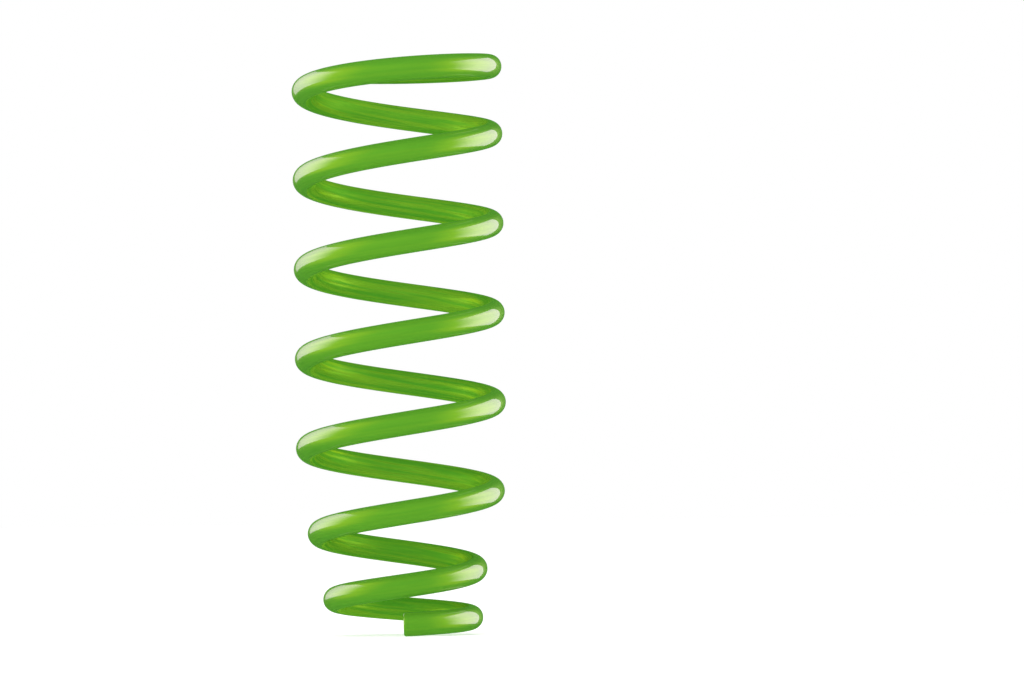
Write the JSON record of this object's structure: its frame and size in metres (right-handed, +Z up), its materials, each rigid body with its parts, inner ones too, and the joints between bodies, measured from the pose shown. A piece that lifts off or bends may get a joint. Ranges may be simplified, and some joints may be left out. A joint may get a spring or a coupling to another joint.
{
  "type": "suspension coil spring",
  "caption": "Helical compression spring for a car's suspension: round green bar, even coils, lower end drawn in to a smaller diameter, upper end laid nearly flat.",
  "frame": {"origin": "on the coil's axis, level with the lowest point of the bar, where the lower end rests on its seat", "axes": "+Z up the coil's axis towards the upper end; the lower tip faces -Y and the bar climbs from it towards +X"},
  "size_m": [0.141, 0.141, 0.3895],
  "materials": {
    "green_powder_coat": "glossy powder coat on spring steel"
  },
  "bodies": {
    "lower_end": {"lower_end_tip": "green_powder_coat", "coil_1_right": "green_powder_coat", "coil_1_back": "green_powder_coat"},
    "coil_1_left": {"coil_1_left": "green_powder_coat"},
    "coil_2_front": {"coil_2_front": "green_powder_coat"},
    "coil_2_right": {"coil_2_right": "green_powder_coat"},
    "coil_2_back": {"coil_2_back": "green_powder_coat"},
    "coil_2_left": {"coil_2_left": "green_powder_coat"},
    "coil_3_front": {"coil_3_front": "green_powder_coat"},
    "coil_3_right": {"coil_3_right": "green_powder_coat"},
    "coil_3_back": {"coil_3_back": "green_powder_coat"},
    "coil_3_left": {"coil_3_left": "green_powder_coat"},
    "coil_4_front": {"coil_4_front": "green_powder_coat"},
    "coil_4_right": {"coil_4_right": "green_powder_coat"},
    "coil_4_back": {"coil_4_back": "green_powder_coat"},
    "coil_4_left": {"coil_4_left": "green_powder_coat"},
    "coil_5_front": {"coil_5_front": "green_powder_coat"},
    "coil_5_right": {"coil_5_right": "green_powder_coat"},
    "coil_5_back": {"coil_5_back": "green_powder_coat"},
    "coil_5_left": {"coil_5_left": "green_powder_coat"},
    "coil_6_front": {"coil_6_front": "green_powder_coat"},
    "coil_6_right": {"coil_6_right": "green_powder_coat"},
    "coil_6_back": {"coil_6_back": "green_powder_coat"},
    "coil_6_left": {"coil_6_left": "green_powder_coat"},
    "coil_7_front": {"coil_7_front": "green_powder_coat"},
    "coil_7_right": {"coil_7_right": "green_powder_coat"},
    "coil_7_back": {"coil_7_back": "green_powder_coat"},
    "coil_7_left": {"coil_7_left": "green_powder_coat"},
    "upper_end": {"coil_8_front": "green_powder_coat", "coil_8_right": "green_powder_coat", "upper_end_tip": "green_powder_coat"}
  },
  "joints": [
    {"name": "coil_1_left_twist", "type": "hinge", "parent": "lower_end", "child": "coil_1_left", "pos_m": [-0.03217, 0.03217, 0.02062], "axis": [0.7034, 0.7034, -0.1029], "range_deg": [0, 1.71], "stiffness_Nm_per_rad": 4750},
    {"name": "coil_2_front_twist", "type": "hinge", "parent": "coil_1_left", "child": "coil_2_front", "pos_m": [-0.03238, -0.03238, 0.02884], "axis": [-0.6918, 0.7113, -0.1243], "range_deg": [0, 3.17], "stiffness_Nm_per_rad": 4750},
    {"name": "coil_2_right_twist", "type": "hinge", "parent": "coil_2_front", "child": "coil_2_right", "pos_m": [0.03358, -0.03358, 0.03859], "axis": [-0.7217, -0.6782, -0.1385], "range_deg": [0, 3.49], "stiffness_Nm_per_rad": 4750},
    {"name": "coil_2_back_twist", "type": "hinge", "parent": "coil_2_right", "child": "coil_2_back", "pos_m": [0.03554, 0.03554, 0.04966], "axis": [0.6712, -0.7267, -0.1462], "range_deg": [0, 4.59], "stiffness_Nm_per_rad": 4750},
    {"name": "coil_2_left_twist", "type": "hinge", "parent": "coil_2_back", "child": "coil_2_left", "pos_m": [-0.03789, 0.03789, 0.06187], "axis": [0.7272, 0.67, -0.1492], "range_deg": [0, 5.27], "stiffness_Nm_per_rad": 4750},
    {"name": "coil_3_front_twist", "type": "hinge", "parent": "coil_2_left", "child": "coil_3_front", "pos_m": [-0.04029, -0.04029, 0.07502], "axis": [-0.6733, 0.7241, -0.1497], "range_deg": [0, 5.23], "stiffness_Nm_per_rad": 4750},
    {"name": "coil_3_right_twist", "type": "hinge", "parent": "coil_3_front", "child": "coil_3_right", "pos_m": [0.04237, -0.04237, 0.08892], "axis": [-0.7179, -0.68, -0.1492], "range_deg": [0, 6.03], "stiffness_Nm_per_rad": 4750},
    {"name": "coil_3_back_twist", "type": "hinge", "parent": "coil_3_right", "child": "coil_3_back", "pos_m": [0.04378, 0.04378, 0.10337], "axis": [0.6894, -0.7089, -0.1491], "range_deg": [0, 7.44], "stiffness_Nm_per_rad": 4750},
    {"name": "coil_3_left_twist", "type": "hinge", "parent": "coil_3_back", "child": "coil_3_left", "pos_m": [-0.04419, 0.04419, 0.11819], "axis": [0.6991, 0.6991, -0.1503], "range_deg": [0, 7.37], "stiffness_Nm_per_rad": 4750},
    {"name": "coil_4_front_twist", "type": "hinge", "parent": "coil_3_left", "child": "coil_4_front", "pos_m": [-0.04419, -0.04419, 0.13317], "axis": [-0.699, 0.699, -0.151], "range_deg": [0, 6.72], "stiffness_Nm_per_rad": 4750},
    {"name": "coil_4_right_twist", "type": "hinge", "parent": "coil_4_front", "child": "coil_4_right", "pos_m": [0.04419, -0.04419, 0.14817], "axis": [-0.699, -0.699, -0.151], "range_deg": [0, 7.01], "stiffness_Nm_per_rad": 4750},
    {"name": "coil_4_back_twist", "type": "hinge", "parent": "coil_4_right", "child": "coil_4_back", "pos_m": [0.04419, 0.04419, 0.16317], "axis": [0.699, -0.699, -0.151], "range_deg": [0, 7.35], "stiffness_Nm_per_rad": 4750},
    {"name": "spring_travel", "type": "hinge", "parent": "coil_4_back", "child": "coil_4_left", "pos_m": [-0.04419, 0.04419, 0.17817], "axis": [0.699, 0.699, -0.151], "range_deg": [0, 7.01], "stiffness_Nm_per_rad": 4750},
    {"name": "coil_5_front_twist", "type": "hinge", "parent": "coil_4_left", "child": "coil_5_front", "pos_m": [-0.04419, -0.04419, 0.19317], "axis": [-0.699, 0.699, -0.151], "range_deg": [0, 6.98], "stiffness_Nm_per_rad": 4750},
    {"name": "coil_5_right_twist", "type": "hinge", "parent": "coil_5_front", "child": "coil_5_right", "pos_m": [0.04419, -0.04419, 0.20817], "axis": [-0.699, -0.699, -0.151], "range_deg": [0, 7.39], "stiffness_Nm_per_rad": 4750},
    {"name": "coil_5_back_twist", "type": "hinge", "parent": "coil_5_right", "child": "coil_5_back", "pos_m": [0.04419, 0.04419, 0.22317], "axis": [0.699, -0.699, -0.151], "range_deg": [0, 7.11], "stiffness_Nm_per_rad": 4750},
    {"name": "coil_5_left_twist", "type": "hinge", "parent": "coil_5_back", "child": "coil_5_left", "pos_m": [-0.04419, 0.04419, 0.23817], "axis": [0.699, 0.699, -0.151], "range_deg": [0, 6.62], "stiffness_Nm_per_rad": 4750},
    {"name": "coil_6_front_twist", "type": "hinge", "parent": "coil_5_left", "child": "coil_6_front", "pos_m": [-0.04419, -0.04419, 0.25317], "axis": [-0.699, 0.699, -0.151], "range_deg": [0, 7.2], "stiffness_Nm_per_rad": 4750},
    {"name": "coil_6_right_twist", "type": "hinge", "parent": "coil_6_front", "child": "coil_6_right", "pos_m": [0.04419, -0.04419, 0.26817], "axis": [-0.699, -0.699, -0.151], "range_deg": [0, 7.79], "stiffness_Nm_per_rad": 4750},
    {"name": "coil_6_back_twist", "type": "hinge", "parent": "coil_6_right", "child": "coil_6_back", "pos_m": [0.04419, 0.04419, 0.28317], "axis": [0.699, -0.699, -0.151], "range_deg": [0, 6.92], "stiffness_Nm_per_rad": 4750},
    {"name": "coil_6_left_twist", "type": "hinge", "parent": "coil_6_back", "child": "coil_6_left", "pos_m": [-0.04419, 0.04419, 0.29817], "axis": [0.699, 0.699, -0.151], "range_deg": [0, 6.2], "stiffness_Nm_per_rad": 4750},
    {"name": "coil_7_front_twist", "type": "hinge", "parent": "coil_6_left", "child": "coil_7_front", "pos_m": [-0.04419, -0.04419, 0.31317], "axis": [-0.699, 0.699, -0.151], "range_deg": [0, 7.38], "stiffness_Nm_per_rad": 4750},
    {"name": "coil_7_right_twist", "type": "hinge", "parent": "coil_7_front", "child": "coil_7_right", "pos_m": [0.04419, -0.04419, 0.32817], "axis": [-0.699, -0.699, -0.151], "range_deg": [0, 8.22], "stiffness_Nm_per_rad": 4750},
    {"name": "coil_7_back_twist", "type": "hinge", "parent": "coil_7_right", "child": "coil_7_back", "pos_m": [0.04419, 0.04419, 0.34317], "axis": [0.699, -0.699, -0.151], "range_deg": [0, 6.76], "stiffness_Nm_per_rad": 4750},
    {"name": "coil_7_left_twist", "type": "hinge", "parent": "coil_7_back", "child": "coil_7_left", "pos_m": [-0.04419, 0.04419, 0.35811], "axis": [0.6994, 0.6994, -0.1471], "range_deg": [0, 5.77], "stiffness_Nm_per_rad": 4750},
    {"name": "upper_end_twist", "type": "hinge", "parent": "coil_7_left", "child": "upper_end", "pos_m": [-0.04419, -0.04419, 0.37101], "axis": [-0.703, 0.703, -0.1079], "range_deg": [0, 3.37], "stiffness_Nm_per_rad": 4750}
  ],
  "couplings": [
    {"joint": "coil_1_left_twist", "follows": "spring_travel", "ratio": 0.24412},
    {"joint": "coil_2_front_twist", "follows": "spring_travel", "ratio": 0.45286},
    {"joint": "coil_2_right_twist", "follows": "spring_travel", "ratio": 0.49727},
    {"joint": "coil_2_back_twist", "follows": "spring_travel", "ratio": 0.65547},
    {"joint": "coil_2_left_twist", "follows": "spring_travel", "ratio": 0.75183},
    {"joint": "coil_3_front_twist", "follows": "spring_travel", "ratio": 0.74607},
    {"joint": "coil_3_right_twist", "follows": "spring_travel", "ratio": 0.85981},
    {"joint": "coil_3_back_twist", "follows": "spring_travel", "ratio": 1.062},
    {"joint": "coil_3_left_twist", "follows": "spring_travel", "ratio": 1.0521},
    {"joint": "coil_4_front_twist", "follows": "spring_travel", "ratio": 0.95933},
    {"joint": "coil_4_right_twist", "follows": "spring_travel", "ratio": 1.0004},
    {"joint": "coil_4_back_twist", "follows": "spring_travel", "ratio": 1.0484},
    {"joint": "coil_5_front_twist", "follows": "spring_travel", "ratio": 0.99615},
    {"joint": "coil_5_right_twist", "follows": "spring_travel", "ratio": 1.0543},
    {"joint": "coil_5_back_twist", "follows": "spring_travel", "ratio": 1.0145},
    {"joint": "coil_5_left_twist", "follows": "spring_travel", "ratio": 0.94415},
    {"joint": "coil_6_front_twist", "follows": "spring_travel", "ratio": 1.0272},
    {"joint": "coil_6_right_twist", "follows": "spring_travel", "ratio": 1.112},
    {"joint": "coil_6_back_twist", "follows": "spring_travel", "ratio": 0.98666},
    {"joint": "coil_6_left_twist", "follows": "spring_travel", "ratio": 0.88505},
    {"joint": "coil_7_front_twist", "follows": "spring_travel", "ratio": 1.0523},
    {"joint": "coil_7_right_twist", "follows": "spring_travel", "ratio": 1.1729},
    {"joint": "coil_7_back_twist", "follows": "spring_travel", "ratio": 0.96522},
    {"joint": "coil_7_left_twist", "follows": "spring_travel", "ratio": 0.82309},
    {"joint": "upper_end_twist", "follows": "spring_travel", "ratio": 0.48105}
  ]
}
